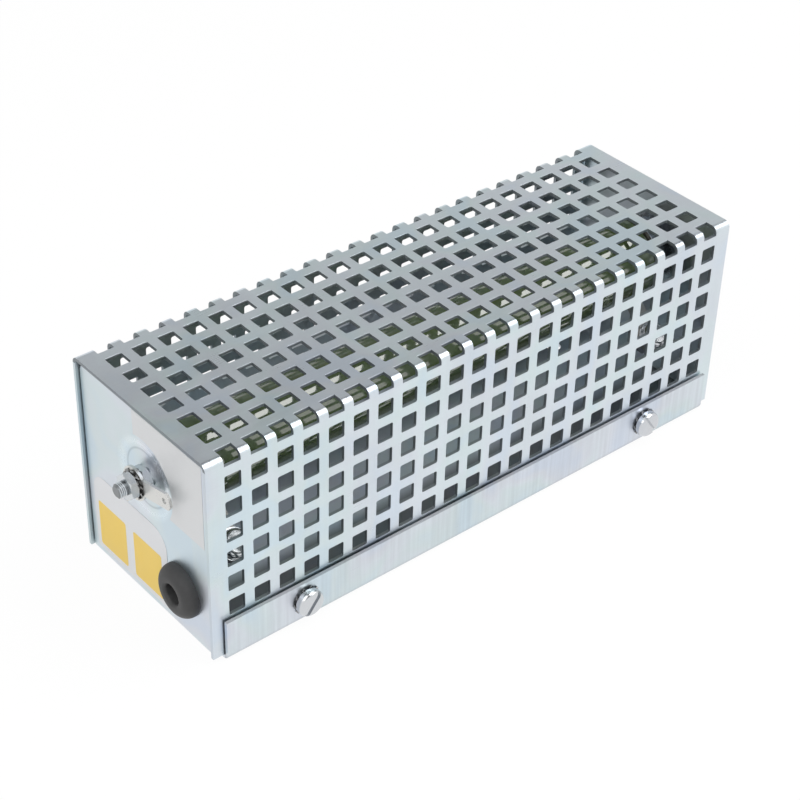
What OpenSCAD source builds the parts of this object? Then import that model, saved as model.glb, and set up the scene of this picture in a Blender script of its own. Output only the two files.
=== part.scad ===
// Enclosure heater: a tubular wirewound resistor on a threaded rod, inside a folded sheet-steel case.
// X runs along the resistor, the cable entry and the earth stud are on the -X end, Z is up, and the
// origin is the middle of the underside.

/* [Perforated cover] */
// Length of the cover
cover_l = 184; // [140:8:264]
// Outer width of the cover
cover_w = 58.8; // [54:0.2:76]
// Height from the underside to the top of the cover
case_h = 64.5; // [61:0.5:84]
// Sheet thickness of the cover
cover_t = 1; // [0.7:0.1:1.2]
// Inside radius of the cover's two bends
cover_bend_r = 1; // [0.6:0.1:1.6]
// Side of one square hole
hole = 5; // [3:0.1:6]
// Corner radius of a hole
hole_r = 0.5; // [0.2:0.1:1.2]
// Spacing of the holes both ways
pitch = 8; // [7.2:0.1:10]
// How far the hole pattern sits off the middle of the sheet, towards +Y
row_shift = 0.4; // [0:0.05:1]
// Least plain sheet between a hole and the end of the cover
end_margin = 5; // [4:0.5:8]
// Height of the plain strip at the foot of each side
plain_h = 11.5; // [11:0.5:16]
// Gap between the foot of the cover and the base plate
foot_gap = 0.3; // [0.2:0.1:0.8]

/* [Base chassis] */
// Sheet thickness of the chassis
base_t = 1; // [0.7:0.1:1.2]
// Inside radius of the chassis bends
base_bend_r = 1; // [0.6:0.1:1.3]
// How far an end plate sits inside the end of the cover
end_recess = 1; // [0.4:0.1:3]
// Height of the side flanges
flange_h = 12.9; // [12.5:0.1:15]
// How far a flange stops short of the end of the cover
flange_inset = 3.5; // [3.2:0.1:8]
// Gap between the cover and a flange
flange_gap = 0.5; // [0.3:0.1:1.2]
// Gap between an end plate and the cover, at the sides and the top
plate_gap = 0.5; // [0.2:0.1:0.8]
// Corner radius of the end plates
plate_corner_r = 3; // [2.5:0.1:5]
// Diameter of the flat floor of the pressed dimple in each end plate
dimple_d = 16.8; // [13:0.1:18]
// Depth of the dimple
dimple_depth = 0.6; // [0.4:0.1:1.5]
// Radial width of the dimple's sloping rim
dimple_rim = 4; // [2:0.1:5]
// Diameter of the fixing holes in the base plate
fixing_d = 4.5; // [3.5:0.1:6]
// Spacing of the fixing holes along the base
fixing_x = 150; // [90:1:160]
// Spacing of the fixing holes across the base
fixing_y = 40; // [20:1:44]

/* [Cover screws] */
// Distance of the cover screws from the middle of the heater
screw_x = 63; // [45:1:65]
// Height of the cover screws
screw_z = 7.1; // [7:0.1:7.6]
// Thread diameter of every screw and of the rod
thread_d = 4; // [3:0.1:4.2]
// Length of a cover screw under its head
screw_l = 8; // [7:0.5:12]
// Diameter of a slotted pan head
head_d = 8; // [6.5:0.1:8.4]
// Height of a slotted pan head
head_h = 2.4; // [1.8:0.1:3]
// Width of a screwdriver slot
slot_w = 1.2; // [0.8:0.1:1.5]
// Depth of a screwdriver slot
slot_depth = 1.1; // [0.6:0.1:1.3]
// Diameter of a clinch nut's body
clinch_d = 7; // [6.4:0.1:7.4]
// Height of a clinch nut's body
clinch_h = 2.2; // [1.5:0.1:3]

/* [Nuts and washers] */
// Width across the flats of the hexagon nuts
nut_af = 7; // [6.6:0.1:8]
// Height of the hexagon nuts
nut_h = 3.2; // [2.2:0.1:4]
// Height of the thin nuts on the earth stud
thin_nut_h = 2.2; // [1.8:0.1:3]
// Outside diameter of the plain washers
washer_d = 9; // [8:0.1:10]
// Thickness of the plain washers
washer_t = 0.8; // [0.5:0.1:1.2]
// Outside diameter of the toothed washers
star_d = 8.6; // [7.8:0.1:9.4]
// Height of the toothed washers over their twisted teeth
star_h = 0.7; // [0.6:0.05:1]
// Number of teeth on a toothed washer
star_teeth = 10; // [8:1:14]

/* [Resistor] */
// Height of the rod and the resistor above the underside
rod_z = 42; // [39:0.2:44]
// Outside diameter of the enamelled tube
tube_d = 24; // [20:0.5:28]
// Bore of the tube
tube_bore = 14; // [11:0.5:15]
// Thickness of the mica washers at the ends of the tube
mica_t = 1; // [0.5:0.1:1.5]
// Thickness of a centring washer's flange
centring_t = 1.5; // [1:0.1:2.5]
// Length of a centring washer's spigot inside the tube
spigot_l = 4; // [2:0.5:6]
// Distance from the end of the tube to its terminal band
band_inset = 3.5; // [2:0.5:8]
// Width of a terminal band
band_w = 5; // [4:0.5:8]
// Sheet thickness of a terminal band
band_t = 0.8; // [0.5:0.1:1]
// Distance from the tube's axis to the terminal screw
lug_r = 25; // [23:0.5:27]
// Diameter of the round end of a terminal lug
lug_d = 9; // [8:0.5:10]
// Angle of the lugs below the horizontal, towards -Y
lug_angle = 45; // [35:1:60]
// Length of a terminal screw under its head
terminal_l = 9; // [8:0.5:11]

/* [Earth stud] */
// Length of thread that stands out past the earth nut
stud_l = 2.6; // [2:0.2:8]
// Length of thread that stands out past the nut at the other end
tail_l = 1.5; // [0.5:0.1:4]
// Diameter of the earth tab's ring
tab_ring_d = 9.8; // [8.5:0.1:11]
// Width of the earth tab's blade
tab_w = 4.8; // [4:0.1:6.4]
// Thickness of the earth tab
tab_t = 0.8; // [0.5:0.1:1]
// Length of the earth tab from the stud to its tip
tab_l = 16.5; // [14:0.5:22]
// Diameter of the hole near the blade's tip
tab_hole_d = 1.6; // [1:0.1:2.2]
// Distance of that hole from the blade's tip
tab_hole_inset = 2.4; // [2:0.1:5]
// Angle of the blade above the horizontal
tab_tilt = 13; // [-20:1:20]

/* [Cable grommet] */
// Distance of the cable entry from the -Y edge of the end plate
grommet_side = 12.8; // [10:0.1:18]
// Height of the cable entry
grommet_z = 15.1; // [13:0.1:18]
// Diameter of the cable bore
grommet_bore = 6; // [4:0.1:7]
// Outside diameter of the grommet
grommet_d = 15.6; // [14:0.1:18]
// Diameter of the grommet's neck in the end plate
neck_d = 10.8; // [9.5:0.1:11.5]
// Height of the domed collar outside the end plate
collar_h = 3.8; // [2.5:0.1:5]
// Height of the collar inside the end plate
inner_collar_h = 2.4; // [1.5:0.1:3.5]

/* [Hidden] */
$fn = 48;
// Clearance of a screw or the rod in a plain hole, on the radius
hole_clear = 0.25;
// Clearance of a nut on its thread, on the radius
thread_clear = 0.05;
// Clearance between pieces that are pressed or slipped together, on the radius
slip = 0.1;
// How far a cutter reaches past the faces it cuts
reach = 2;
// Turn of each slot about its screw: two screws on the -Y side, then two on the +Y side
slot_turns = [[52, -55], [20, -35]];
// Hexagon nuts are turned by these amounts about the rod
back_nut_turn = 40;
earth_nut_turn = 12;
tail_nut_turn = 25;

// Cover section
bend_out = cover_bend_r + cover_t;
flat_half = cover_w / 2 - bend_out;
// In a bend the sheet keeps its length a third of its thickness from the inside
neutral_r = cover_bend_r + 0.33 * cover_t;
bend_len = neutral_r * PI / 2;
cover_foot = base_t + foot_gap;
columns = floor((cover_l - 2 * end_margin - hole) / pitch) + 1;
// Enough rows to pass the foot of the sheet on either side
row_count = ceil((cover_w / 2 + case_h) / pitch);

// Chassis
plate_x = cover_l / 2 - end_recess;
plate_half = cover_w / 2 - cover_t - plate_gap;
plate_top = case_h - cover_t - plate_gap;
flange_x = cover_l / 2 - flange_inset;
flange_in = cover_w / 2 + flange_gap;
flange_out = flange_in + base_t;
floor_out = plate_x - dimple_depth;
floor_in = floor_out - base_t;
grommet_y = plate_half - grommet_side;

// Stack along the rod, from an end plate's dimple to the end of the tube
nut_in = floor_in - washer_t;
centring_x = nut_in - nut_h;
mica_x = centring_x - centring_t;
tube_end = mica_x - mica_t;
band_x = tube_end - band_inset - band_w / 2;

// Stack outside the dimples
back_star_x = floor_out + thin_nut_h;
tab_x = back_star_x + star_h;
front_star_x = tab_x + tab_t;
earth_nut_x = front_star_x + star_h;
stud_tip = earth_nut_x + thin_nut_h + stud_l;
tail_nut_x = floor_out + star_h;
tail_tip = tail_nut_x + nut_h + tail_l;

// Places its children on the rod's axis, with their +Z pointing out of the end on that side.
module on_rod(side, x) {
    translate([side * x, 0, rod_z]) rotate([0, side * 90, 0]) children();
}

// Places its children on a cover screw's axis, with their +Z pointing out of that side.
module at_cover_screw(end, side, y) {
    translate([end * screw_x, side * y, screw_z]) rotate([-side * 90, 0, 0]) children();
}

// Repeats its children at all four cover screws.
module each_cover_screw(y) {
    for (side = [-1, 1], end = [-1, 1]) at_cover_screw(end, side, y) children();
}

// Places its children on a terminal screw's axis, with their +Z pointing towards the screw's head.
module at_terminal(end) {
    translate([end * band_x, 0, rod_z]) rotate([lug_angle, 0, 0])
        translate([0, -lug_r, 0]) children();
}

// A flat ring.
module ring(outer_r, inner_r, height) {
    linear_extrude(height) difference() {
        circle(outer_r);
        circle(inner_r);
    }
}

// A hexagon nut with its corners turned off on both faces.
module hex_nut(height) {
    corner_r = nut_af / sqrt(3);
    chamfer_r = nut_af / 2;
    chamfer_h = (corner_r - chamfer_r) * tan(30);
    difference() {
        intersection() {
            cylinder(r = corner_r, h = height, $fn = 6);
            rotate_extrude() polygon([[0, 0], [chamfer_r, 0], [corner_r, chamfer_h],
                [corner_r, height - chamfer_h], [chamfer_r, height], [0, height]]);
        }
        translate([0, 0, -reach]) cylinder(d = thread_d + 2 * thread_clear, h = height + 2 * reach);
    }
}

// A toothed lock washer: a thin ring whose outer teeth are each twisted out of its plane.
module star_washer() {
    ring_t = star_h * 0.55;
    root_r = star_d / 2 - 1.3;
    twist = 25;
    tooth_t = ring_t * 0.8;
    // A twisted tooth stays inside the washer's height
    tooth_w = (star_h - tooth_t * cos(twist)) / sin(twist);
    translate([0, 0, (star_h - ring_t) / 2])
        ring(root_r, thread_d / 2 + hole_clear, ring_t);
    for (i = [0 : star_teeth - 1]) rotate(i * 360 / star_teeth)
        translate([root_r - 0.4, 0, star_h / 2]) rotate([twist, 0, 0])
            translate([0, -tooth_w / 2, -tooth_t / 2])
                cube([star_d / 2 - root_r + 0.4, tooth_w, tooth_t]);
}

// A slotted pan-head screw, with its head above Z = 0 and its shank below.
module slotted_screw(length, turn) {
    edge_r = head_h * 0.6;
    tip = thread_d / 8;
    difference() {
        rotate_extrude() {
            square([head_d / 2, head_h - edge_r]);
            square([head_d / 2 - edge_r, head_h]);
            intersection() {
                translate([head_d / 2 - edge_r, head_h - edge_r]) circle(edge_r);
                square([head_d / 2, head_h]);
            }
            polygon([[0, 0], [thread_d / 2, 0], [thread_d / 2, tip - length],
                [thread_d / 2 - tip, -length], [0, -length]]);
        }
        rotate(turn) translate([-head_d, -slot_w / 2, head_h - slot_depth])
            cube([2 * head_d, slot_w, 2 * head_h]);
    }
}

// Outline of one punched hole: a square with round corners.
module hole_outline() {
    square([hole - 2 * hole_r, hole], center = true);
    square([hole, hole - 2 * hole_r], center = true);
    for (x = [-1, 1], y = [-1, 1])
        translate([x, y] * (hole / 2 - hole_r)) circle(hole_r);
}

// X position of one column of holes
function column_x(i) = (i - (columns - 1) / 2) * pitch;

// Distance along the sheet from its middle to the middle of row k on one side
function row_at(k, side) = (k + 0.5) * pitch + side * row_shift;

// Height of the place on a side wall that is s along the sheet
function wall_z(s) = case_h - bend_out - (s - flat_half - bend_len);

function is_top_row(s) = s + hole / 2 <= flat_half;
function is_wall_row(s) = s - hole / 2 >= flat_half + bend_len;

// Point in the section, s along the folded sheet and d outside the middle of its thickness
function sheet_point(s, d) =
    s <= flat_half ? [s, case_h - cover_t / 2 + d]
    : s >= flat_half + bend_len ? [cover_w / 2 - cover_t / 2 + d, wall_z(s)]
    : let (a = (s - flat_half) / neutral_r * 180 / PI, r = bend_out - cover_t / 2 + d)
        [flat_half + r * sin(a), case_h - bend_out + r * cos(a)];

// Half of the cover's section, on the +Y side.
module half_section() {
    difference() {
        union() {
            translate([0, cover_foot]) square([flat_half, case_h - cover_foot]);
            translate([0, cover_foot]) square([cover_w / 2, case_h - bend_out - cover_foot]);
            translate([flat_half, case_h - bend_out]) circle(bend_out);
        }
        translate([-reach, 0]) square([flat_half + reach, case_h - cover_t]);
        square([cover_w / 2 - cover_t, case_h - bend_out]);
        translate([flat_half, case_h - bend_out]) circle(cover_bend_r);
    }
}

// Cuts through the top of the cover: the rows that lie in its flat part.
module top_holes() {
    translate([0, 0, case_h - cover_t - reach]) linear_extrude(cover_t + 2 * reach)
        for (side = [-1, 1], k = [0 : row_count], i = [0 : columns - 1])
            if (is_top_row(row_at(k, side)))
                translate([column_x(i), side * row_at(k, side)]) hole_outline();
}

// Cuts through one side wall: the rows between its bend and the plain strip.
module wall_holes(side) {
    translate([0, side * cover_w / 2, 0]) rotate([90, 0, 0])
        linear_extrude(2 * (cover_t + reach), center = true)
            for (k = [0 : row_count], i = [0 : columns - 1])
                if (is_wall_row(row_at(k, side)) && wall_z(row_at(k, side)) - hole / 2 >= plain_h)
                    translate([column_x(i), wall_z(row_at(k, side))]) hole_outline();
}

// Cuts through one bend: the rows that wrap round it, with ends square to the sheet.
module bend_holes(side) {
    for (k = [0 : row_count]) {
        s = row_at(k, side);
        if (!is_top_row(s) && !is_wall_row(s))
            for (i = [0 : columns - 1])
                translate([column_x(i) - hole / 2, 0, 0]) mirror([0, side < 0 ? 1 : 0, 0])
                    rotate([90, 0, 90]) linear_extrude(hole) polygon([
                        sheet_point(s - hole / 2, -cover_t), sheet_point(s - hole / 2, cover_t),
                        [cover_w / 2 + reach, case_h + reach],
                        sheet_point(s + hole / 2, cover_t), sheet_point(s + hole / 2, -cover_t)]);
    }
}

module perforated_cover() {
    color("silver") difference() {
        rotate([90, 0, 90]) linear_extrude(cover_l, center = true) {
            half_section();
            mirror([1, 0]) half_section();
        }
        top_holes();
        for (side = [-1, 1]) {
            wall_holes(side);
            bend_holes(side);
        }
        each_cover_screw(cover_w / 2 - cover_t - reach)
            cylinder(d = clinch_spigot_d() + 2 * slip, h = cover_t + 2 * reach);
    }
}

// A folded channel's section: a floor with a wall turned up at each end, outer faces at +-half.
module channel_section(half, height) {
    difference() {
        folded_outline(half, height, base_bend_r + base_t);
        translate([0, base_t]) folded_outline(half - base_t, height, base_bend_r);
    }
}

// A rectangle that stands on Z = 0 with round lower corners.
module folded_outline(half, height, r) {
    translate([-half, r]) square([2 * half, height - r]);
    translate([r - half, 0]) square([2 * (half - r), height]);
    for (x = [-1, 1]) translate([x * (half - r), r]) circle(r);
}

// One end plate's outline, for trimming its upper corners round.
module plate_outline() {
    square([2 * plate_half, plate_top - plate_corner_r]);
    translate([plate_corner_r, 0]) square([2 * (plate_half - plate_corner_r), plate_top]);
    for (y = [plate_corner_r, 2 * plate_half - plate_corner_r])
        translate([y, plate_top - plate_corner_r]) circle(plate_corner_r);
}

// A dished disc, dimple_depth deep, with a soft shoulder and a crisp floor edge. The profile is
// grown inwards along the rod by lift.
module dish(lift) {
    steps = 8;
    floor_r = dimple_d / 2;
    rotate_extrude() polygon(concat(
        [[0, reach], [0, -dimple_depth - lift], [floor_r, -dimple_depth - lift]],
        [for (i = [1 : steps]) let (u = i / steps)
            [floor_r + dimple_rim * u, -dimple_depth * cos(90 * u) ^ 1.5 - lift]],
        [[floor_r + dimple_rim, reach]]));
}

module base_chassis() {
    color("lightsteelblue") difference() {
        union() {
            intersection() {
                rotate([90, 0, 0]) linear_extrude(2 * plate_half, center = true)
                    channel_section(plate_x, plate_top);
                translate([0, -plate_half, 0]) rotate([90, 0, 90])
                    linear_extrude(2 * plate_x + reach, center = true) plate_outline();
            }
            rotate([90, 0, 90]) linear_extrude(2 * flange_x, center = true)
                channel_section(flange_out, flange_h);
            for (side = [-1, 1]) on_rod(side, plate_x) intersection() {
                dish(base_t);
                translate([0, 0, -plate_x]) cylinder(r = dimple_d + dimple_rim, h = plate_x);
            }
        }
        for (side = [-1, 1]) on_rod(side, plate_x) {
            dish(0);
            translate([0, 0, -2 * reach - dimple_depth])
                cylinder(d = thread_d + 2 * hole_clear, h = 4 * reach);
        }
        translate([-plate_x - reach, -grommet_y, grommet_z]) rotate([0, 90, 0])
            cylinder(d = neck_d + 2 * slip, h = base_t + 2 * reach);
        each_cover_screw(flange_in - reach)
            cylinder(d = thread_d + 2 * hole_clear, h = base_t + 2 * reach);
        for (x = [-1, 1], y = [-1, 1])
            translate([x * fixing_x / 2, y * fixing_y / 2, -reach])
                cylinder(d = fixing_d, h = base_t + 2 * reach);
    }
}

module cover_screws() {
    color("gainsboro") for (side = [0, 1], end = [0, 1])
        at_cover_screw(2 * end - 1, 2 * side - 1, flange_out + star_h)
            slotted_screw(screw_l, slot_turns[side][end]);
}

module cover_screw_washers() {
    color("gray") each_cover_screw(flange_out) star_washer();
}

// Diameter of a clinch nut's spigot, which fills the hole in the cover
function clinch_spigot_d() = clinch_d - 1.6;

module cover_clinch_nuts() {
    bore_r = thread_d / 2 + thread_clear;
    color("lightgray") each_cover_screw(cover_w / 2 - cover_t - clinch_h) rotate_extrude() {
        translate([bore_r, 0]) square([clinch_d / 2 - bore_r, clinch_h]);
        translate([bore_r, 0]) square([clinch_spigot_d() / 2 - bore_r, clinch_h + cover_t]);
    }
}

// A collar's section from the bore outwards, with its two outer edges round.
module collar_section(height, outer_edge, bore_edge) {
    width = (grommet_d - grommet_bore) / 2;
    square([width - outer_edge, height - bore_edge]);
    square([width, height - outer_edge]);
    translate([bore_edge, 0]) square([width - bore_edge - outer_edge, height]);
    translate([width - outer_edge, height - outer_edge]) intersection() {
        circle(outer_edge);
        square(outer_edge);
    }
    translate([bore_edge, height - bore_edge]) mirror([1, 0]) intersection() {
        circle(bore_edge);
        square(bore_edge);
    }
}

module cable_grommet() {
    outer_edge = collar_h * 0.84;
    inner_edge = inner_collar_h * 0.5;
    bore_edge = 1;
    color("dimgray") translate([-plate_x, -grommet_y, grommet_z]) rotate([0, -90, 0])
        rotate_extrude() translate([grommet_bore / 2, 0]) {
            collar_section(collar_h, outer_edge, bore_edge);
            translate([0, -base_t - slip]) mirror([0, 1])
                collar_section(inner_collar_h, inner_edge, bore_edge);
            translate([0, -base_t - 2 * slip])
                square([(neck_d - grommet_bore) / 2, base_t + 3 * slip]);
        }
}

module resistor_tube() {
    edge = 0.8;
    color("darkolivegreen") rotate([0, 90, 0]) translate([-rod_z, 0, 0]) rotate_extrude() polygon([
        [tube_bore / 2, -tube_end], [tube_d / 2 - edge, -tube_end], [tube_d / 2, edge - tube_end],
        [tube_d / 2, tube_end - edge], [tube_d / 2 - edge, tube_end], [tube_bore / 2, tube_end]]);
}

// A strip wrapped round the tube, its two ends lying together as a lug with a screw hole.
module terminal_band(end) {
    inner_r = tube_d / 2 + slip;
    color("silver") translate([end * band_x, 0, rod_z]) rotate([lug_angle, 0, 0]) difference() {
        union() {
            rotate([0, 90, 0]) translate([0, 0, -band_w / 2]) ring(inner_r + band_t, inner_r, band_w);
            translate([0, 0, -band_t]) linear_extrude(2 * band_t) {
                translate([-band_w / 2, -lug_r]) square([band_w, lug_r - inner_r - band_t / 2]);
                translate([0, -lug_r]) circle(d = lug_d);
            }
        }
        translate([0, -lug_r, -reach]) cylinder(d = thread_d + 2 * hole_clear, h = 2 * reach);
    }
}

module left_terminal_band() { terminal_band(-1); }

module right_terminal_band() { terminal_band(1); }

module terminal_screws() {
    color("gainsboro") for (end = [-1, 1])
        at_terminal(end) translate([0, 0, band_t + washer_t]) slotted_screw(terminal_l, 30 * end);
}

module terminal_washers() {
    color("silver") for (end = [-1, 1], z = [band_t, -band_t - washer_t])
        at_terminal(end) translate([0, 0, z]) ring(lug_d / 2, thread_d / 2 + hole_clear, washer_t);
}

module terminal_nuts() {
    color("silver") for (end = [-1, 1])
        at_terminal(end) translate([0, 0, -band_t - washer_t - nut_h]) hex_nut(nut_h);
}

module threaded_rod() {
    tip = thread_d / 8;
    r = thread_d / 2;
    color("gainsboro") translate([0, 0, rod_z]) rotate([0, 90, 0]) rotate_extrude() polygon([
        [0, -stud_tip], [r - tip, -stud_tip], [r, tip - stud_tip],
        [r, tail_tip - tip], [r - tip, tail_tip], [0, tail_tip]]);
}

module mica_washer(side) {
    color("tan") on_rod(side, tube_end) ring(tube_d / 2, tube_bore / 2, mica_t);
}

module left_mica_washer() { mica_washer(-1); }

module right_mica_washer() { mica_washer(1); }

// A turned washer whose spigot centres the tube on the rod.
module centring_washer(side) {
    spigot_r = tube_bore / 2 - slip;
    flange_r = (tube_d + tube_bore) / 4 + 1;
    color("lightgray") on_rod(side, mica_x) difference() {
        union() {
            cylinder(r = flange_r, h = centring_t);
            translate([0, 0, -mica_t - spigot_l]) cylinder(r = spigot_r, h = mica_t + spigot_l);
        }
        translate([0, 0, -mica_t - spigot_l - reach])
            cylinder(d = thread_d + 2 * hole_clear, h = mica_t + spigot_l + centring_t + 2 * reach);
    }
}

module left_centring_washer() { centring_washer(-1); }

module right_centring_washer() { centring_washer(1); }

module clamp_nut(side) {
    color("silver") on_rod(side, centring_x) hex_nut(nut_h);
}

module left_clamp_nut() { clamp_nut(-1); }

module right_clamp_nut() { clamp_nut(1); }

module inner_washer(side) {
    color("silver") on_rod(side, nut_in) ring(washer_d / 2, thread_d / 2 + hole_clear, washer_t);
}

module left_inner_washer() { inner_washer(-1); }

module right_inner_washer() { inner_washer(1); }

module earth_back_nut() {
    color("silver") on_rod(-1, floor_out) rotate(back_nut_turn) hex_nut(thin_nut_h);
}

module earth_star_washers() {
    color("gray") for (x = [back_star_x, front_star_x]) on_rod(-1, x) star_washer();
}

// A ring with a push-on blade, held between the two toothed washers.
module earth_tab() {
    tip_chamfer = tab_w / 4;
    color("gainsboro") on_rod(-1, tab_x) rotate(tab_tilt) linear_extrude(tab_t) difference() {
        union() {
            circle(d = tab_ring_d);
            polygon([[-tab_w / 2, 0], [-tab_w / 2, tip_chamfer - tab_l],
                [tip_chamfer - tab_w / 2, -tab_l], [tab_w / 2 - tip_chamfer, -tab_l],
                [tab_w / 2, tip_chamfer - tab_l], [tab_w / 2, 0]]);
        }
        circle(d = thread_d + 2 * hole_clear);
        translate([0, tab_hole_inset - tab_l]) circle(d = tab_hole_d);
    }
}

module earth_nut() {
    color("silver") on_rod(-1, earth_nut_x) rotate(earth_nut_turn) hex_nut(thin_nut_h);
}

module tail_star_washer() {
    color("gray") on_rod(1, floor_out) star_washer();
}

module tail_nut() {
    color("silver") on_rod(1, tail_nut_x) rotate(tail_nut_turn) hex_nut(nut_h);
}

base_chassis();
perforated_cover();
cover_screws();
cover_screw_washers();
cover_clinch_nuts();
cable_grommet();
resistor_tube();
left_terminal_band();
right_terminal_band();
terminal_screws();
terminal_washers();
terminal_nuts();
threaded_rod();
left_mica_washer();
right_mica_washer();
left_centring_washer();
right_centring_washer();
left_clamp_nut();
right_clamp_nut();
left_inner_washer();
right_inner_washer();
earth_back_nut();
earth_star_washers();
earth_tab();
earth_nut();
tail_star_washer();
tail_nut();
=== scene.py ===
import math

import bmesh
import bpy
from mathutils import Euler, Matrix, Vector


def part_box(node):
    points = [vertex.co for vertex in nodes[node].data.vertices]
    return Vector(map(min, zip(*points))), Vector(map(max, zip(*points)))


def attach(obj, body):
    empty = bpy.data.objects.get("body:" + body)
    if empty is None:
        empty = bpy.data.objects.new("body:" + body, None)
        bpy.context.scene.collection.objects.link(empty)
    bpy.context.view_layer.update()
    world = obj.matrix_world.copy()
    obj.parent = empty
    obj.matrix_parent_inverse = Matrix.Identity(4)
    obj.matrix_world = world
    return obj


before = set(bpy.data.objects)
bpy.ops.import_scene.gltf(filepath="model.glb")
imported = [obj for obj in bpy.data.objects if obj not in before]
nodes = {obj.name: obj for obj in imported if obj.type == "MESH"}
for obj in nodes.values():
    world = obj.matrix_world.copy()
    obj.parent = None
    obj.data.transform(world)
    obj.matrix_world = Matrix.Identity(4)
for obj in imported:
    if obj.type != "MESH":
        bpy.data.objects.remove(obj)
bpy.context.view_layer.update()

# Base chassis. One zinc-plated steel sheet, folded up into the base plate, the two end plates with their
# pressed dimples and the two side flanges that the cover stands between. The plating is bright, with a cloudy
# grain, a faint bloom and bath streaks down the flanges. Painted shade darkens it in the flanges' bottom folds
# and on the inside of the base plate towards its sides, and each dimple has a painted ring of light and shade.
MM = 0.001


def finish(name):
    """A new material, with its node tree and its Principled BSDF."""
    material = bpy.data.materials.new(name)
    material.use_nodes = True
    return material, material.node_tree, material.node_tree.nodes["Principled BSDF"]


def put(tree, kind, sockets=None, **settings):
    """A new node of one kind, with its settings and the values of its sockets."""
    node = tree.nodes.new(kind)
    for key, value in settings.items():
        setattr(node, key, value)
    for key, value in (sockets or {}).items():
        node.inputs[key].default_value = value
    return node


def new_group(name, inputs, outputs):
    """An empty shader node group with named sockets, as (group, its input node, its output node)."""
    group = bpy.data.node_groups.new(name, "ShaderNodeTree")
    for socket, kind, value in inputs:
        made = group.interface.new_socket(name=socket, in_out="INPUT", socket_type="NodeSocket" + kind)
        made.default_value = value
    for socket, kind in outputs:
        group.interface.new_socket(name=socket, in_out="OUTPUT", socket_type="NodeSocket" + kind)
    return group, group.nodes.new("NodeGroupInput"), group.nodes.new("NodeGroupOutput")


def millimetres(tree):
    """The place on the object, counted in millimetres."""
    place = put(tree, "ShaderNodeTexCoord")
    scaled = put(tree, "ShaderNodeVectorMath", {"Scale": 1 / MM}, operation="SCALE")
    tree.links.new(place.outputs["Object"], scaled.inputs[0])
    return scaled.outputs["Vector"]


def stretched_noise(tree, place, stretch, detail, distortion=0.0):
    """Noise whose grains are stretched by different amounts along X, Y and Z."""
    mapping = put(tree, "ShaderNodeMapping", {"Scale": stretch})
    noise = put(tree, "ShaderNodeTexNoise", {"Scale": 1.0, "Detail": detail, "Distortion": distortion})
    tree.links.new(place, mapping.inputs["Vector"])
    tree.links.new(mapping.outputs["Vector"], noise.inputs["Vector"])
    return noise.outputs["Fac"]


def spread(tree, value, low, high, from_low=0.3, from_high=0.7):
    """A value carried from one range to another."""
    node = put(tree, "ShaderNodeMapRange", {"From Min": from_low, "From Max": from_high,
                                            "To Min": low, "To Max": high})
    tree.links.new(value, node.inputs["Value"])
    return node.outputs["Result"]


def combine(tree, kind, first, second):
    """Two values added, multiplied or compared."""
    node = put(tree, "ShaderNodeMath", operation=kind)
    for socket, value in zip(node.inputs, (first, second)):
        if isinstance(value, (int, float)):
            socket.default_value = value
        else:
            tree.links.new(value, socket)
    return node.outputs["Value"]


def tinted(tree, colour, shade):
    """A colour made lighter or darker by a value round 1."""
    node = put(tree, "ShaderNodeVectorMath", operation="SCALE")
    tree.links.new(colour, node.inputs[0])
    tree.links.new(shade, node.inputs["Scale"])
    return node.outputs["Vector"]


CLOUD_GRAIN = (0.06, 0.06, 0.06)
BLOOM_GRAIN = (0.045, 0.045, 0.036)
STREAK_GRAIN = (0.9, 0.9, 0.03)
BLOOM_COLOURS = ((0.36, (0.90, 0.975, 1.0, 1)), (0.44, (0.96, 1.0, 0.97, 1)), (0.51, (1.0, 1.0, 1.0, 1)),
                 (0.58, (0.985, 0.96, 0.975, 1)), (0.66, (0.93, 0.94, 1.0, 1)))
# Full painted shade: how dark it makes the plating and how much rougher. Painted light: how much it brightens the
# plating and how much smoother.
PAINTED_SHADE_TONE, PAINTED_SHADE_ROUGHNESS = 0.4, 0.25
PAINTED_LIGHT_TONE, PAINTED_LIGHT_POLISH = 0.09, 0.12


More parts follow.
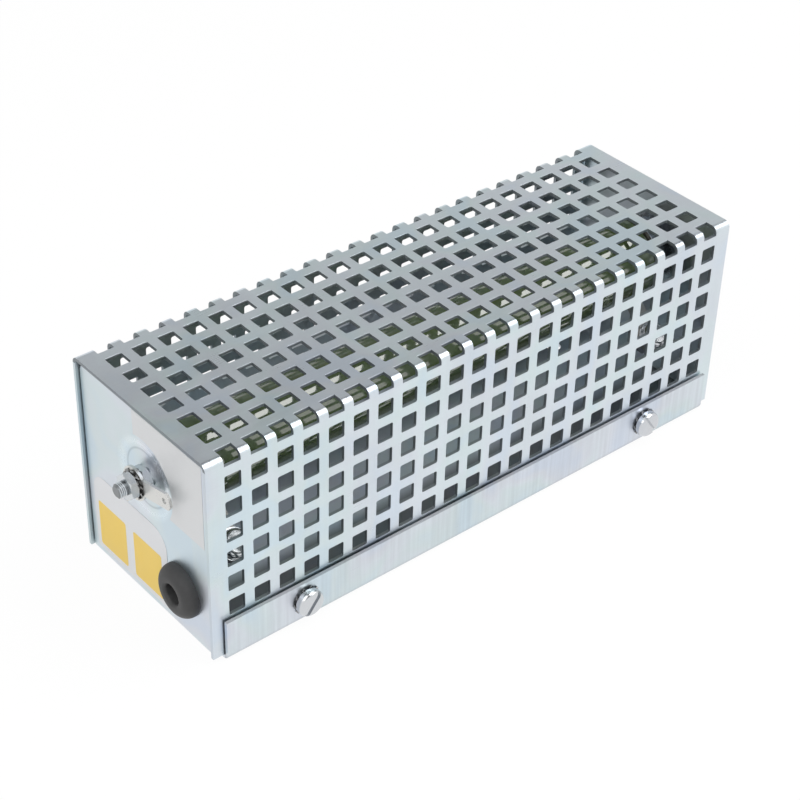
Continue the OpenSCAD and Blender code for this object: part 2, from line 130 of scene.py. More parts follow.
def zinc_plate_group():
    """Bright zinc plating: cloudy grain, a faint bloom of colour, fine rolling lines and bath streaks. Painted
    shade darkens and roughens it where it is given; painted light brightens and polishes it, and darkens it
    where it is negative."""
    group, ins, outs = new_group(
        "zinc_plate",
        [("Tint", "Color", (0.7, 0.7, 0.7, 1)), ("Rolling", "Vector", (0.05, 3, 3)), ("Streaks", "Float", 0.0),
         ("Bloom", "Float", 0.5), ("Polish", "Float", 0.3), ("Painted Shade", "Float", 0.0),
         ("Painted Light", "Float", 0.0)],
        [("Color", "Color"), ("Roughness", "Float"), ("Height", "Float")])
    place = millimetres(group)
    cloud = stretched_noise(group, place, CLOUD_GRAIN, 5)
    rolling_map = put(group, "ShaderNodeVectorMath", operation="MULTIPLY")
    group.links.new(place, rolling_map.inputs[0])
    group.links.new(ins.outputs["Rolling"], rolling_map.inputs[1])
    rolling = put(group, "ShaderNodeTexNoise", {"Scale": 1.0, "Detail": 3.0})
    group.links.new(rolling_map.outputs["Vector"], rolling.inputs["Vector"])
    streak = stretched_noise(group, place, STREAK_GRAIN, 4)

    bloom = put(group, "ShaderNodeValToRGB")
    stops = bloom.color_ramp.elements
    stops[0].position, stops[0].color = BLOOM_COLOURS[0]
    stops[1].position, stops[1].color = BLOOM_COLOURS[-1]
    for position, colour in BLOOM_COLOURS[1:-1]:
        stops.new(position).color = colour
    group.links.new(stretched_noise(group, place, BLOOM_GRAIN, 2, 0.6), bloom.inputs["Fac"])
    washed = put(group, "ShaderNodeMix", data_type="RGBA", blend_type="MULTIPLY")
    group.links.new(ins.outputs["Bloom"], washed.inputs["Factor"])
    group.links.new(ins.outputs["Tint"], washed.inputs["A"])
    group.links.new(bloom.outputs["Color"], washed.inputs["B"])

    streaked = combine(group, "MULTIPLY", spread(group, streak, -0.2, 0.2), ins.outputs["Streaks"])
    shade = combine(group, "ADD", spread(group, cloud, 0.965, 1.03), streaked)
    shade = combine(group, "ADD", shade, spread(group, rolling.outputs["Fac"], -0.012, 0.012))
    # Painted light brightens the tone, or darkens it where negative.
    shade = combine(group, "ADD", shade, combine(group, "MULTIPLY", ins.outputs["Painted Light"], PAINTED_LIGHT_TONE))
    # Painted shade darkens the tone.
    shade = combine(group, "MULTIPLY", shade,
                    spread(group, ins.outputs["Painted Shade"], 1.0, PAINTED_SHADE_TONE, 0.0, 1.0))
    group.links.new(tinted(group, washed.outputs["Result"], shade), outs.inputs["Color"])

    rough = combine(group, "ADD", ins.outputs["Polish"], spread(group, cloud, -0.04, 0.05))
    rough = combine(group, "ADD", rough, spread(group, rolling.outputs["Fac"], -0.02, 0.03))
    # Painted shade also roughens the plating; painted light polishes it.
    rough = combine(group, "ADD", rough, combine(group, "MULTIPLY", ins.outputs["Painted Shade"], PAINTED_SHADE_ROUGHNESS))
    rough = combine(group, "SUBTRACT", rough,
                    combine(group, "MULTIPLY", ins.outputs["Painted Light"], PAINTED_LIGHT_POLISH))
    group.links.new(rough, outs.inputs["Roughness"])
    group.links.new(rolling.outputs["Fac"], outs.inputs["Height"])
    return group


ZINC_PLATE = zinc_plate_group()


def zinc_finish(name, tint, polish, rolling, streaks=0.0, bloom=0.5, bump=0.04):
    """A plated steel finish with its own tint, polish and run of rolling lines."""
    material, tree, shader = finish(name)
    plate = put(tree, "ShaderNodeGroup", node_tree=ZINC_PLATE, name="plating")
    plate.inputs["Tint"].default_value = (*tint, 1)
    plate.inputs["Rolling"].default_value = rolling
    plate.inputs["Streaks"].default_value = streaks
    plate.inputs["Bloom"].default_value = bloom
    plate.inputs["Polish"].default_value = polish
    shader.inputs["Metallic"].default_value = 1.0
    raised = put(tree, "ShaderNodeBump", {"Strength": bump, "Distance": 0.02 * MM}, name="raised")
    tree.links.new(plate.outputs["Height"], raised.inputs["Height"])
    tree.links.new(plate.outputs["Color"], shader.inputs["Base Color"])
    tree.links.new(plate.outputs["Roughness"], shader.inputs["Roughness"])
    tree.links.new(raised.outputs["Normal"], shader.inputs["Normal"])
    return material


def dress(material, *names):
    """Gives CAD nodes their finish."""
    for name in names:
        nodes[name].data.materials.clear()
        nodes[name].data.materials.append(material)


def along_axes(tree, vector):
    """The X, Y and Z parts of a place or a direction."""
    parts = put(tree, "ShaderNodeSeparateXYZ")
    tree.links.new(vector, parts.inputs["Vector"])
    return parts.outputs["X"], parts.outputs["Y"], parts.outputs["Z"]


def joined(tree, kind, first, second=None, output="Vector"):
    """Two vectors added, multiplied or compared."""
    node = put(tree, "ShaderNodeVectorMath", operation=kind)
    for socket, value in zip(node.inputs, (first, second)):
        if isinstance(value, tuple):
            socket.default_value = value
        elif value is not None:
            tree.links.new(value, socket)
    return node.outputs[output]


def ring_mark(tree, radius, at, width):
    """A soft ring, 1 at one radius and 0 further than its width away."""
    off = combine(tree, "ABSOLUTE", combine(tree, "SUBTRACT", radius, at), 0.0)
    return spread(tree, off, 1.0, 0.0, 0.0, width)


rod_low, rod_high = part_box("threaded_rod")
ROD_Z = (rod_low.z + rod_high.z) / 2


def from_rod_axis(tree, place):
    """How far a place is from the rod's axis, in millimetres."""
    off_axis = joined(tree, "SUBTRACT", place, (0.0, 0.0, ROD_Z / MM))
    return joined(tree, "LENGTH", joined(tree, "MULTIPLY", off_axis, (0.0, 1.0, 1.0)), output="Value")


CHASSIS_TINT = (0.635, 0.685, 0.73)
CHASSIS_POLISH = 0.33
CHASSIS_ROLLING = (0.05, 3, 3)
STREAK_DEPTH = 0.3
FLANGE_INNER_Y = 29.6
FLANGE_EDGE_LEAN = 3.0
LOOKS_UP = 0.7
CASE_CENTRE_Z = 32.0
BASE_PLATE_TOP = 3.0
# Painted shade on the inside of the base plate: strong towards the near side, weaker towards the far side.
NEAR_PAINTED_SHADE, NEAR_SHADE_EDGE, NEAR_SHADE_END = 0.9, -10.0, -6.0
FAR_PAINTED_SHADE, FAR_SHADE_START, FAR_SHADE_EDGE = 0.4, 12.0, 24.0
# Painted shade along the flanges' bottom folds, fading out upwards.
FOLD_PAINTED_SHADE, FOLD_START, FOLD_HEIGHT = 0.45, 0.3, 2.2
PLATE_INNER_X = 88.0
# The dimple's painted light: a soft bright ring over its flank, and a thin dark ring at its floor's edge.
DIMPLE_FLANK_R, DIMPLE_FLANK_WIDTH = 10.4, 2.0
DIMPLE_FLOOR_R, DIMPLE_CREASE_WIDTH, DIMPLE_CREASE_SHADE = 8.4, 0.5, 1.8

chassis_zinc = zinc_finish("chassis_zinc", CHASSIS_TINT, CHASSIS_POLISH, CHASSIS_ROLLING, bloom=1.0)
tree = chassis_zinc.node_tree
plating, raised = tree.nodes["plating"], tree.nodes["raised"]
place = millimetres(tree)
along, across, up = along_axes(tree, joined(tree, "ABSOLUTE", place))
on_flange = combine(tree, "GREATER_THAN", across, FLANGE_INNER_Y)
tree.links.new(combine(tree, "MULTIPLY", on_flange, STREAK_DEPTH), plating.inputs["Streaks"])
facing = put(tree, "ShaderNodeNewGeometry")
outward = joined(tree, "DOT_PRODUCT", facing.outputs["Normal"],
                 joined(tree, "SUBTRACT", place, (0.0, 0.0, CASE_CENTRE_Z)), "Value")
_, place_y, _ = along_axes(tree, place)
# Painted shade on the base plate's inside, by how far across the case it lies.
painted_base_shade = combine(tree, "ADD", spread(tree, place_y, NEAR_PAINTED_SHADE, 0.0, NEAR_SHADE_EDGE, NEAR_SHADE_END),
                  spread(tree, place_y, 0.0, FAR_PAINTED_SHADE, FAR_SHADE_START, FAR_SHADE_EDGE))
on_base = combine(tree, "MULTIPLY", combine(tree, "LESS_THAN", outward, 0.0),
                  combine(tree, "LESS_THAN", up, BASE_PLATE_TOP))
# Painted shade low on the flanges, along their bottom folds.
painted_fold_shade = combine(tree, "MULTIPLY", on_flange, spread(tree, up, FOLD_PAINTED_SHADE, 0.0, FOLD_START, FOLD_HEIGHT))
tree.links.new(combine(tree, "ADD", combine(tree, "MULTIPLY", on_base, painted_base_shade), painted_fold_shade),
               plating.inputs["Painted Shade"])
_, side, _ = along_axes(tree, joined(tree, "SIGN", place))
_, _, rise = along_axes(tree, facing.outputs["Normal"])
on_edge = combine(tree, "MULTIPLY", on_flange, combine(tree, "GREATER_THAN", rise, LOOKS_UP))
lean_out = put(tree, "ShaderNodeCombineXYZ")
tree.links.new(combine(tree, "MULTIPLY", combine(tree, "MULTIPLY", on_edge, side), FLANGE_EDGE_LEAN),
               lean_out.inputs["Y"])
leaning = joined(tree, "ADD", facing.outputs["Normal"], lean_out.outputs["Vector"])
tree.links.new(joined(tree, "NORMALIZE", leaning), raised.inputs["Normal"])
# Painted highlight in a soft ring over each dimple's flank, less painted shade in a thin ring at its floor's
# edge, on the end plates only.
from_rod = from_rod_axis(tree, place)
crease_shade = ring_mark(tree, from_rod, DIMPLE_FLOOR_R, DIMPLE_CREASE_WIDTH)
dimple_painted_light = combine(tree, "SUBTRACT", ring_mark(tree, from_rod, DIMPLE_FLANK_R, DIMPLE_FLANK_WIDTH),
                  combine(tree, "MULTIPLY", crease_shade, DIMPLE_CREASE_SHADE))
on_plate = combine(tree, "GREATER_THAN", along, PLATE_INNER_X)
tree.links.new(combine(tree, "MULTIPLY", dimple_painted_light, on_plate), plating.inputs["Painted Light"])
dress(chassis_zinc, "base_chassis")

# Resistor tube. A ceramic tube wound with resistance wire and fired in dark green vitreous enamel. The
# enamel is glossy, and the turns of wire under it show as soft ridges round the tube.
ENAMEL_GREEN = (0.108, 0.152, 0.062)
ENAMEL_DEEP = (0.068, 0.100, 0.041)
WINDING_PITCH = 1.6
WINDING_RIDGE = 0.035
POOL_GRAIN = (0.12, 0.2, 0.2)
GLAZE_GRAIN = (0.4, 0.4, 0.4)
GLAZE_IOR, COAT_IOR, COAT_ROUGHNESS = 1.7, 1.9, 0.03


def fired_enamel_group():
    """Vitreous enamel: glossy dark green, deeper where it pooled, with the wire's turns as soft ridges."""
    group, _, outs = new_group("fired_enamel", [],
                               [("Color", "Color"), ("Roughness", "Float"), ("Height", "Float")])
    place = millimetres(group)
    turns = put(group, "ShaderNodeTexWave", {"Scale": 2 * math.pi / WINDING_PITCH / 20, "Distortion": 0.35,
                                             "Detail": 2.0, "Detail Scale": 0.4},
                wave_type="BANDS", bands_direction="X", wave_profile="SIN")
    group.links.new(place, turns.inputs["Vector"])
    pooled = put(group, "ShaderNodeMix", {"A": (*ENAMEL_DEEP, 1), "B": (*ENAMEL_GREEN, 1)}, data_type="RGBA")
    group.links.new(spread(group, stretched_noise(group, place, POOL_GRAIN, 4), 0.45, 1.0),
                    pooled.inputs["Factor"])
    group.links.new(pooled.outputs["Result"], outs.inputs["Color"])
    group.links.new(spread(group, stretched_noise(group, place, GLAZE_GRAIN, 3), 0.05, 0.11),
                    outs.inputs["Roughness"])
    group.links.new(turns.outputs["Fac"], outs.inputs["Height"])
    return group


FIRED_ENAMEL = fired_enamel_group()


def glaze(shader):
    """The gloss of fired enamel."""
    shader.inputs["IOR"].default_value = GLAZE_IOR
    shader.inputs["Coat IOR"].default_value = COAT_IOR
    shader.inputs["Coat Roughness"].default_value = COAT_ROUGHNESS


enamel, tree, shader = finish("green_enamel")
fired = put(tree, "ShaderNodeGroup", node_tree=FIRED_ENAMEL)
tree.links.new(fired.outputs["Color"], shader.inputs["Base Color"])
tree.links.new(fired.outputs["Roughness"], shader.inputs["Roughness"])
ridge = put(tree, "ShaderNodeBump", {"Strength": WINDING_RIDGE, "Distance": 0.1 * MM})
tree.links.new(fired.outputs["Height"], ridge.inputs["Height"])
tree.links.new(ridge.outputs["Normal"], shader.inputs["Normal"])
glaze(shader)
shader.inputs["Coat Weight"].default_value = 1.0
dress(enamel, "resistor_tube")

# Terminal bands. Strips wrapped round the tube near its ends and fired over with the enamel. Their two ends
# come out bare and tinned as a lug, and a slotted screw, two washers and a nut on it take the supply wires.
LUG_TINT = (0.40, 0.40, 0.385)
LUG_POLISH = 0.34
TIN_GRAIN = (1.2, 1.2, 1.2)
PLATED_TINT = (0.62, 0.64, 0.66)
PLATED_POLISH = 0.2
PLATED_GRAIN = (2.5, 2.5, 2.5)
ENAMELLED_R = 13.6

plated = zinc_finish("plated_hardware", PLATED_TINT, PLATED_POLISH, PLATED_GRAIN, bloom=0.35, bump=0.06)
banded = zinc_finish("enamelled_band", LUG_TINT, LUG_POLISH, TIN_GRAIN, bloom=0.2, bump=0.08)
tree = banded.node_tree
shader, plating = tree.nodes["Principled BSDF"], tree.nodes["plating"]
fired = put(tree, "ShaderNodeGroup", node_tree=FIRED_ENAMEL)
bare = combine(tree, "GREATER_THAN", from_rod_axis(tree, millimetres(tree)), ENAMELLED_R)
for kind, output, socket in (("RGBA", "Color", "Base Color"), ("FLOAT", "Roughness", "Roughness")):
    meeting = put(tree, "ShaderNodeMix", data_type=kind)
    tree.links.new(bare, meeting.inputs["Factor"])
    tree.links.new(fired.outputs[output], meeting.inputs["A"])
    tree.links.new(plating.outputs[output], meeting.inputs["B"])
    tree.links.new(meeting.outputs["Result"], shader.inputs[socket])
tree.links.new(bare, shader.inputs["Metallic"])
tree.links.new(spread(tree, bare, 1.0, 0.0, 0.0, 1.0), shader.inputs["Coat Weight"])
glaze(shader)
dress(banded, "left_terminal_band", "right_terminal_band")
dress(plated, "terminal_screws", "terminal_washers", "terminal_nuts")

# End seats of the tube. A mica washer cushions each end, a turned washer centres it on the rod, and a nut
# with a washer clamps it and stands the end plate off.
MICA_PALE = (0.11, 0.105, 0.085)
MICA_DARK = (0.06, 0.058, 0.048)
FLAKES_PER_MM = 0.9

mica, tree, shader = finish("mica")
flakes = put(tree, "ShaderNodeTexVoronoi", {"Scale": FLAKES_PER_MM, "Randomness": 1.0})
tree.links.new(millimetres(tree), flakes.inputs["Vector"])
layered = put(tree, "ShaderNodeMix", {"A": (*MICA_DARK, 1), "B": (*MICA_PALE, 1)}, data_type="RGBA")
tree.links.new(flakes.outputs["Color"], layered.inputs["Factor"])
tree.links.new(layered.outputs["Result"], shader.inputs["Base Color"])
tree.links.new(spread(tree, flakes.outputs["Distance"], 0.3, 0.55, 0.0, 0.8), shader.inputs["Roughness"])
dress(mica, "left_mica_washer", "right_mica_washer")
dress(plated, "left_centring_washer", "right_centring_washer", "left_clamp_nut", "right_clamp_nut",
      "left_inner_washer", "right_inner_washer")

# Threaded rod and its nuts. The rod runs through the tube and both end plates. Its thread is rolled. The rod
# is tinted dark as painted shade for the thread's roots, and bright plated ridges wound round it make the
# crests where it stands out of the last nut at either end.
THREAD_PITCH = 0.5 * MM
THREAD_CREST_R, THREAD_ROOT_R = 2.14 * MM, 1.96 * MM
CREST_HALF, ROOT_HALF = 0.14 * THREAD_PITCH, 0.48 * THREAD_PITCH
STEPS_PER_TURN = 36
RUN_OUT_STEPS = STEPS_PER_TURN / 4
RUN_IN = 0.15 * MM
# The rod's dark tint is painted shade standing for the thread's roots.
THREAD_ROOT_SHADE_TINT = (0.24, 0.25, 0.26)
THREAD_ROOT_POLISH = 0.34


def piece_from(mesh, name):
    """An object from a finished bmesh, riding on the heater."""
    data = bpy.data.meshes.new(name)
    mesh.to_mesh(data)
    mesh.free()
    piece = bpy.data.objects.new(name, data)
    bpy.context.scene.collection.objects.link(piece)
    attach(piece, "root")
    return piece


def thread_ridge(name, start_x, end_x):
    """A helical ridge round the rod between two places on its axis, running out to nothing at both ends."""
    length = abs(end_x - start_x) - THREAD_PITCH
    way = math.copysign(1, end_x - start_x)
    steps = int(length / THREAD_PITCH * STEPS_PER_TURN)
    mesh = bmesh.new()
    rows = []
    for i in range(steps + 1):
        angle = 2 * math.pi * i / STEPS_PER_TURN
        x = start_x + way * (THREAD_PITCH / 2 + THREAD_PITCH * i / STEPS_PER_TURN)
        run_out = min(1, i / RUN_OUT_STEPS, (steps - i) / RUN_OUT_STEPS)
        crest = THREAD_ROOT_R + (THREAD_CREST_R - THREAD_ROOT_R) * run_out
        corners = ((-ROOT_HALF, THREAD_ROOT_R), (-CREST_HALF, crest),
                   (CREST_HALF, crest), (ROOT_HALF, THREAD_ROOT_R))
        rows.append([mesh.verts.new((x + way * shift, radius * math.sin(angle), ROD_Z + radius * math.cos(angle)))
                     for shift, radius in corners])
    for low, high in zip(rows, rows[1:]):
        for k in range(4):
            mesh.faces.new((low[k], low[(k + 1) % 4], high[(k + 1) % 4], high[k]))
    mesh.faces.new(rows[0])
    mesh.faces.new(rows[-1])
    bmesh.ops.recalc_face_normals(mesh, faces=mesh.faces)
    return piece_from(mesh, name)


dress(plated, "earth_back_nut", "earth_nut", "tail_nut")
# The rod is tinted dark as painted shade for the thread's roots.
dress(zinc_finish("thread_root_shade", THREAD_ROOT_SHADE_TINT, THREAD_ROOT_POLISH, PLATED_GRAIN, bloom=0.2), "threaded_rod")
earth_nut_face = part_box("earth_nut")[0].x
tail_nut_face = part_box("tail_nut")[1].x
for name, start, end in (("stud_thread", earth_nut_face, rod_low.x + RUN_IN),
                         ("tail_thread", tail_nut_face, rod_high.x - RUN_IN)):
    ridge_piece = thread_ridge(name, start, end)
    ridge_piece.data.materials.append(plated)

# Earth tab and toothed washers. The tab is a tinned ring with a push-on blade, held between two toothed
# washers of plain spring steel. The same washers lock the nut at the other end and the cover screws.
TIN_TINT = (0.66, 0.66, 0.64)
TIN_POLISH = 0.28
SPRING_TINT = (0.30, 0.30, 0.30)
SPRING_POLISH = 0.3
SPRING_GRAIN = (3, 3, 3)

dress(zinc_finish("tinned_metal", TIN_TINT, TIN_POLISH, TIN_GRAIN, bloom=0.2, bump=0.08), "earth_tab")
dress(zinc_finish("spring_steel", SPRING_TINT, SPRING_POLISH, SPRING_GRAIN, bloom=0.2, bump=0.1),
      "earth_star_washers", "tail_star_washer", "cover_screw_washers")

# Cable grommet. A moulded ring of black rubber, snapped into the end plate. Its skin is matte and finely
# grained, with a little dust on the faces that look up.
RUBBER_BLACK = (0.024, 0.024, 0.025)
RUBBER_DUSTY = (0.047, 0.047, 0.048)
DUST_GRAIN = (0.9, 0.9, 0.9)
SKIN_GRAIN = (6, 6, 6)

rubber, tree, shader = finish("grommet_rubber")
place = millimetres(tree)
facing = put(tree, "ShaderNodeNewGeometry")
_, _, rise = along_axes(tree, facing.outputs["Normal"])
settled = combine(tree, "MULTIPLY", spread(tree, rise, 0.15, 1.0, -0.4, 0.9),
                  spread(tree, stretched_noise(tree, place, DUST_GRAIN, 5), 0.5, 1.0))
dusted = put(tree, "ShaderNodeMix", {"A": (*RUBBER_BLACK, 1), "B": (*RUBBER_DUSTY, 1)}, data_type="RGBA")
tree.links.new(settled, dusted.inputs["Factor"])
tree.links.new(dusted.outputs["Result"], shader.inputs["Base Color"])
tree.links.new(spread(tree, settled, 0.5, 0.68, 0.0, 1.0), shader.inputs["Roughness"])
skin = put(tree, "ShaderNodeBump", {"Strength": 0.12, "Distance": 0.05 * MM})
tree.links.new(stretched_noise(tree, place, SKIN_GRAIN, 4), skin.inputs["Height"])
tree.links.new(skin.outputs["Normal"], shader.inputs["Normal"])
dress(rubber, "cable_grommet")

# Perforated cover. One punched and zinc-plated sheet, folded into a U over the chassis. The rolling lines run
# along it. Painted shade darkens its inside and the cut faces of its holes, least at the walls' ends, and a
# painted highlight brightens a rim on the cut faces that run along the top.
COVER_TINT = (0.667, 0.735, 0.776)
COVER_POLISH = 0.32
COVER_ROLLING = (0.04, 3, 3)
BEND_OUT = 2.0
BEND_Y, BEND_Z = 29.4 - BEND_OUT, 64.5 - BEND_OUT
RIM_DEPTH, RIM_LEAN = 0.4, 0.7
# Painted shade on the cover's inside and on its holes' cut faces, full on upright cut faces, kept to a share at
# the walls' ends.
INSIDE_PAINTED_SHADE = 0.35
CUT_PAINTED_SHADE, FLAT_CUT_PAINTED_SHADE = 1.0, 0.45
WALL_END_X, WALL_END_SHARE = 91.5, 0.2

cover_zinc = zinc_finish("cover_zinc", COVER_TINT, COVER_POLISH, COVER_ROLLING, streaks=0.06, bloom=0.8)
tree = cover_zinc.node_tree
plating, raised = tree.nodes["plating"], tree.nodes["raised"]
along, across, up = along_axes(tree, millimetres(tree))
past_fold = combine(tree, "SUBTRACT", across,
                    combine(tree, "MAXIMUM", combine(tree, "MINIMUM", across, BEND_Y), -BEND_Y))
over_fold = combine(tree, "MAXIMUM", combine(tree, "SUBTRACT", up, BEND_Z), 0.0)
from_fold = put(tree, "ShaderNodeCombineXYZ")
tree.links.new(past_fold, from_fold.inputs["Y"])
tree.links.new(over_fold, from_fold.inputs["Z"])
out_of_sheet = joined(tree, "NORMALIZE", from_fold.outputs["Vector"])
depth = combine(tree, "SUBTRACT", BEND_OUT, joined(tree, "LENGTH", from_fold.outputs["Vector"], output="Value"))
facing = put(tree, "ShaderNodeNewGeometry")
lean = joined(tree, "DOT_PRODUCT", facing.outputs["Normal"], out_of_sheet, "Value")
cut = combine(tree, "LESS_THAN", combine(tree, "ABSOLUTE", lean, 0.0), 0.5)
# Painted shade on faces that look into the case.
inside = combine(tree, "MULTIPLY", combine(tree, "LESS_THAN", lean, -0.5), INSIDE_PAINTED_SHADE)
_, lengthwise, level = along_axes(tree, joined(tree, "ABSOLUTE", facing.outputs["Normal"]))
# The rim: a painted highlight with extra polish on the top's cut faces that run along it, next to the outer
# surface; its normals lean out below.
rim = combine(tree, "MULTIPLY", combine(tree, "MULTIPLY", cut, lengthwise),
              spread(tree, depth, 1.0, 0.0, 0.0, RIM_DEPTH))
# Painted shade on the cut faces below the rim: full on upright ones, less on those that look up or down, least at
# the walls' ends.
wall_end = combine(tree, "MULTIPLY", combine(tree, "LESS_THAN", up, BEND_Z),
                   combine(tree, "GREATER_THAN", combine(tree, "ABSOLUTE", along, 0.0), WALL_END_X))
cut_shade_weight = combine(tree, "MULTIPLY", spread(tree, level, CUT_PAINTED_SHADE, FLAT_CUT_PAINTED_SHADE, 0.0, 1.0),
                       spread(tree, wall_end, 1.0, WALL_END_SHARE, 0.0, 1.0))
painted_cut_shade = combine(tree, "MULTIPLY", combine(tree, "SUBTRACT", cut, rim), cut_shade_weight)
tree.links.new(combine(tree, "ADD", inside, painted_cut_shade), plating.inputs["Painted Shade"])
# The rim's painted highlight goes into the plating.
tree.links.new(rim, plating.inputs["Painted Light"])
folded = tinted(tree, out_of_sheet, combine(tree, "SIGN", lean, 0.0))
rolled = joined(tree, "NORMALIZE", joined(tree, "ADD", facing.outputs["Normal"],
                                          tinted(tree, out_of_sheet, combine(tree, "MULTIPLY", rim, RIM_LEAN))))
sheet_normal = put(tree, "ShaderNodeMix", data_type="VECTOR")
tree.links.new(cut, sheet_normal.inputs["Factor"])
tree.links.new(folded, sheet_normal.inputs["A"])
tree.links.new(rolled, sheet_normal.inputs["B"])
tree.links.new(sheet_normal.outputs["Result"], raised.inputs["Normal"])
dress(cover_zinc, "perforated_cover")

# Cover screws. Slotted pan heads, bright plated, that hold the cover's foot to the flanges and turn into
# clinch nuts in the cover's walls.
dress(plated, "cover_screws", "cover_clinch_nuts")

# Labels. Two printed foils stuck on the end plate by the earth stud: a bare silvery plate beside the dimple,
# and a pale one below with two plain yellow fields. They are cut clear of the dimple and the grommet.
LABEL_T, INK_T = 0.06 * MM, 0.015 * MM
SILVER_FOIL, SILVER_ROUGHNESS = (0.63, 0.64, 0.65), 0.4
PALE_FOIL, PALE_ROUGHNESS = (0.68, 0.69, 0.71), 0.36
YELLOW_INK, INK_ROUGHNESS = (0.80, 0.56, 0.10), 0.42
FOIL_SHEEN = 0.35
PRINT_GRAIN = (4, 4, 4)
STUCK_GRAIN = (0.15, 0.15, 0.15)
THIN_INK = 0.94
CORNER_STEPS = 10
PLATE_FACE_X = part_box("base_chassis")[0].x
DIMPLE_CLEAR_R = 12.7
GROMMET_CLEAR_R = 8.0
grommet_low, grommet_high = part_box("cable_grommet")
GROMMET_Y = (grommet_low.y + grommet_high.y) / 2 / MM
GROMMET_Z = (grommet_low.z + grommet_high.z) / 2 / MM


def arc(centre, radius, start, end):
    """Points on an arc in the end plate's plane, by angles from +Y towards +Z."""
    return [(centre[0] + radius * math.cos(math.radians(start + (end - start) * i / CORNER_STEPS)),
             centre[1] + radius * math.sin(math.radians(start + (end - start) * i / CORNER_STEPS)))
            for i in range(CORNER_STEPS + 1)]


def foil(name, outline, base_x, thickness):
    """A thin sheet on the end plate, from its outline in millimetres across (Y) and up (Z)."""
    mesh = bmesh.new()
    under = mesh.faces.new([mesh.verts.new((base_x, y * MM, z * MM)) for y, z in outline])
    made = bmesh.ops.extrude_face_region(mesh, geom=[under])
    raised = [v for v in made["geom"] if isinstance(v, bmesh.types.BMVert)]
    bmesh.ops.translate(mesh, verts=raised, vec=(-thickness, 0, 0))
    bmesh.ops.recalc_face_normals(mesh, faces=mesh.faces)
    return piece_from(mesh, name)


def rounded_field(low, high, radius):
    """Outline of a rectangle with round corners, from its lower and upper corners."""
    (y0, z0), (y1, z1) = low, high
    return (arc((y1 - radius, z1 - radius), radius, 0, 90) + arc((y0 + radius, z1 - radius), radius, 90, 180)
            + arc((y0 + radius, z0 + radius), radius, 180, 270)
            + arc((y1 - radius, z0 + radius), radius, 270, 360))


def foil_finish(name, colour, roughness, metallic):
    """A printed plastic foil: smooth, faintly uneven where it is stuck down, with a fine print grain."""
    material, tree, shader = finish(name)
    place = millimetres(tree)
    grain = stretched_noise(tree, place, PRINT_GRAIN, 3)
    stuck = stretched_noise(tree, place, STUCK_GRAIN, 2)
    ink = put(tree, "ShaderNodeMix", {"A": (*(THIN_INK * part for part in colour), 1), "B": (*colour, 1)},
              data_type="RGBA")
    tree.links.new(combine(tree, "ADD", spread(tree, grain, 0.2, 0.6), spread(tree, stuck, 0.0, 0.4)),
                   ink.inputs["Factor"])
    tree.links.new(ink.outputs["Result"], shader.inputs["Base Color"])
    tree.links.new(spread(tree, stuck, roughness - 0.04, roughness + 0.04), shader.inputs["Roughness"])
    shader.inputs["Metallic"].default_value = metallic
    lifted = put(tree, "ShaderNodeBump", {"Strength": 0.1, "Distance": 0.05 * MM})
    tree.links.new(stuck, lifted.inputs["Height"])
    tree.links.new(lifted.outputs["Normal"], shader.inputs["Normal"])
    return material


def circle_height(y, radius):
    """How far a circle of that radius reaches above its middle at distance y."""
    return math.sqrt(radius ** 2 - y ** 2)


rod_z = ROD_Z / MM
plate_left, plate_right, plate_low, plate_high = 3.9, -26.2, 35.8, 62.0
notch_start = math.degrees(math.atan2(circle_height(plate_left, DIMPLE_CLEAR_R), plate_left))
notch_end = 180 + math.degrees(math.asin((rod_z - plate_low) / DIMPLE_CLEAR_R))
rating_plate = foil("rating_plate", [(plate_left, plate_high)]
                    + arc((0, rod_z), DIMPLE_CLEAR_R, notch_start, notch_end)
                    + [(plate_right, plate_low), (plate_right, plate_high)], PLATE_FACE_X, LABEL_T)
rating_plate.data.materials.append(foil_finish("silver_foil", SILVER_FOIL, SILVER_ROUGHNESS, FOIL_SHEEN))

pale_near, pale_far, pale_low, pale_high = -8.6, 25.8, 3.0, 28.6
far_round, near_round, low_round = 5, 6, 1.5
bite = math.degrees(math.acos((pale_near - GROMMET_Y) / GROMMET_CLEAR_R))
pale_label = foil("pale_label", arc((pale_far - far_round, pale_high - far_round), far_round, 0, 90)
                  + arc((pale_near + near_round, pale_high - near_round), near_round, 90, 180)
                  + arc((GROMMET_Y, GROMMET_Z), GROMMET_CLEAR_R, bite, -bite)
                  + arc((pale_near + low_round, pale_low + low_round), low_round, 180, 270)
                  + arc((pale_far - low_round, pale_low + low_round), low_round, 270, 360), PLATE_FACE_X, LABEL_T)
pale_label.data.materials.append(foil_finish("pale_foil", PALE_FOIL, PALE_ROUGHNESS, FOIL_SHEEN))

yellow = foil_finish("yellow_ink", YELLOW_INK, INK_ROUGHNESS, 0.0)
field_low, field_high, field_width, field_round = 4.6, 19.7, 13.1, 0.8
for name, near in (("far_yellow_field", 11.0), ("near_yellow_field", -5.7)):
    outline = rounded_field((near, field_low), (near + field_width, field_high), field_round)
    field = foil(name, outline, PLATE_FACE_X - LABEL_T, INK_T)
    field.data.materials.append(yellow)

# Studio. A plain white floor that keeps the heater's shadow, a white room with a grey ceiling for the metal
# to reflect, a large soft lamp on the right and a weaker one on the left.
FLOOR_HALF = 3.0
FLOOR_DROP = 0.05 * MM
PAPER_GREY = (0.85, 0.85, 0.85, 1)
PAPER_WHITE = (1, 1, 1, 1)
PAPER_SHOWN = 0.95
ROOM_LIGHT = 0.6
CEILING_GREY, CEILING_EDGE, CEILING_FULL = 0.155, 0.42, 0.70
CASE_MIDDLE = (0, 0, 0.03)
LAMP_SIZE = 0.9

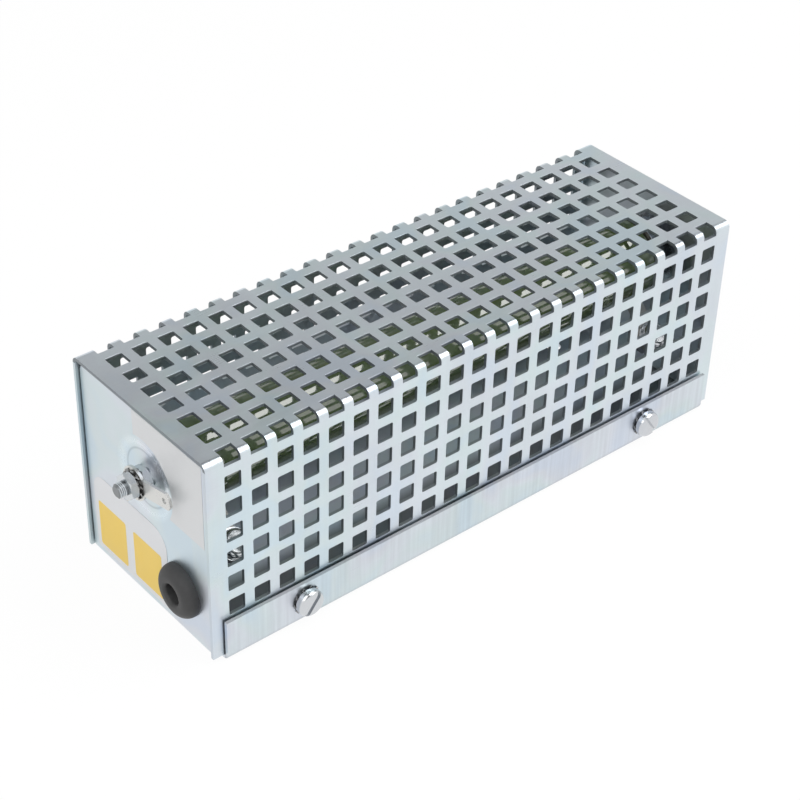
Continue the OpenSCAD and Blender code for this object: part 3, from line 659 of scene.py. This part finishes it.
floor_mesh = bmesh.new()
bmesh.ops.create_grid(floor_mesh, x_segments=8, y_segments=8, size=FLOOR_HALF)
floor_data = bpy.data.meshes.new("floor")
floor_mesh.to_mesh(floor_data)
floor_mesh.free()
floor = bpy.data.objects.new("floor", floor_data)
bpy.context.scene.collection.objects.link(floor)
floor.location.z = -FLOOR_DROP

paper = bpy.data.materials.new("floor_paper")
paper.use_nodes = True
tree = paper.node_tree
tree.nodes.clear()
lit = put(tree, "ShaderNodeBsdfDiffuse", {"Color": PAPER_GREY})
glow = put(tree, "ShaderNodeEmission", {"Color": PAPER_WHITE, "Strength": 1.0})
path = put(tree, "ShaderNodeLightPath")
seen = combine(tree, "MAXIMUM", path.outputs["Is Camera Ray"],
               combine(tree, "MAXIMUM", path.outputs["Is Glossy Ray"], path.outputs["Is Transmission Ray"]))
blend = put(tree, "ShaderNodeMixShader")
tree.links.new(combine(tree, "MULTIPLY", seen, PAPER_SHOWN), blend.inputs["Fac"])
tree.links.new(lit.outputs["BSDF"], blend.inputs[1])
tree.links.new(glow.outputs["Emission"], blend.inputs[2])
out = put(tree, "ShaderNodeOutputMaterial")
tree.links.new(blend.outputs["Shader"], out.inputs["Surface"])
floor.data.materials.append(paper)

world = bpy.data.worlds.new("studio")
bpy.context.scene.world = world
world.use_nodes = True
tree = world.node_tree
tree.nodes.clear()
path = put(tree, "ShaderNodeLightPath")
direction = put(tree, "ShaderNodeTexCoord")
height = put(tree, "ShaderNodeSeparateXYZ")
tree.links.new(direction.outputs["Generated"], height.inputs["Vector"])
mirrored = spread(tree, height.outputs["Z"], 1.0, CEILING_GREY, CEILING_EDGE, CEILING_FULL)
level = put(tree, "ShaderNodeMix", {"A": ROOM_LIGHT}, data_type="FLOAT")
tree.links.new(path.outputs["Is Glossy Ray"], level.inputs["Factor"])
tree.links.new(mirrored, level.inputs["B"])
shown = put(tree, "ShaderNodeMix", {"B": 1.0}, data_type="FLOAT")
tree.links.new(combine(tree, "MAXIMUM", path.outputs["Is Camera Ray"], path.outputs["Is Transmission Ray"]),
               shown.inputs["Factor"])
tree.links.new(level.outputs["Result"], shown.inputs["A"])
room = put(tree, "ShaderNodeBackground", {"Color": (1, 1, 1, 1)})
tree.links.new(shown.outputs["Result"], room.inputs["Strength"])
out = put(tree, "ShaderNodeOutputWorld")
tree.links.new(room.outputs["Background"], out.inputs["Surface"])


def soft_lamp(name, place, aim, size, power):
    """A square soft lamp at a place, turned towards another."""
    data = bpy.data.lights.new(name, "AREA")
    data.shape = "SQUARE"
    data.size = size
    data.energy = power
    lamp = bpy.data.objects.new(name, data)
    bpy.context.scene.collection.objects.link(lamp)
    lamp.location = place
    lamp.rotation_euler = (Vector(aim) - Vector(place)).to_track_quat("-Z", "Y").to_euler()
    lamp.visible_camera = False


soft_lamp("right_softbox", (0.5, -0.45, 0.95), CASE_MIDDLE, LAMP_SIZE, 8.0)
soft_lamp("left_softbox", (-0.7, -0.25, 0.92), CASE_MIDDLE, LAMP_SIZE, 6.0)

# Camera. It stands where the photographer stood, fitted to the grid of holes: above the end with the earth
# stud and to the near side, with a long lens.
SENSOR_WIDTH, LENS = 36.0, 87.302
CAMERA_PLACE = (-0.29254, -0.33257, 0.35284)
CAMERA_TURN = (53.510, -1.3576, -39.7434)
NEAREST, FARTHEST = 0.01, 20.0

eye = bpy.data.cameras.new("photo_camera")
eye.sensor_width, eye.lens = SENSOR_WIDTH, LENS
eye.clip_start, eye.clip_end = NEAREST, FARTHEST
camera = bpy.data.objects.new("photo_camera", eye)
bpy.context.scene.collection.objects.link(camera)
camera.location = CAMERA_PLACE
camera.rotation_euler = Euler([math.radians(turn) for turn in CAMERA_TURN])
bpy.context.scene.camera = camera
bpy.context.scene.view_settings.view_transform = "Standard"
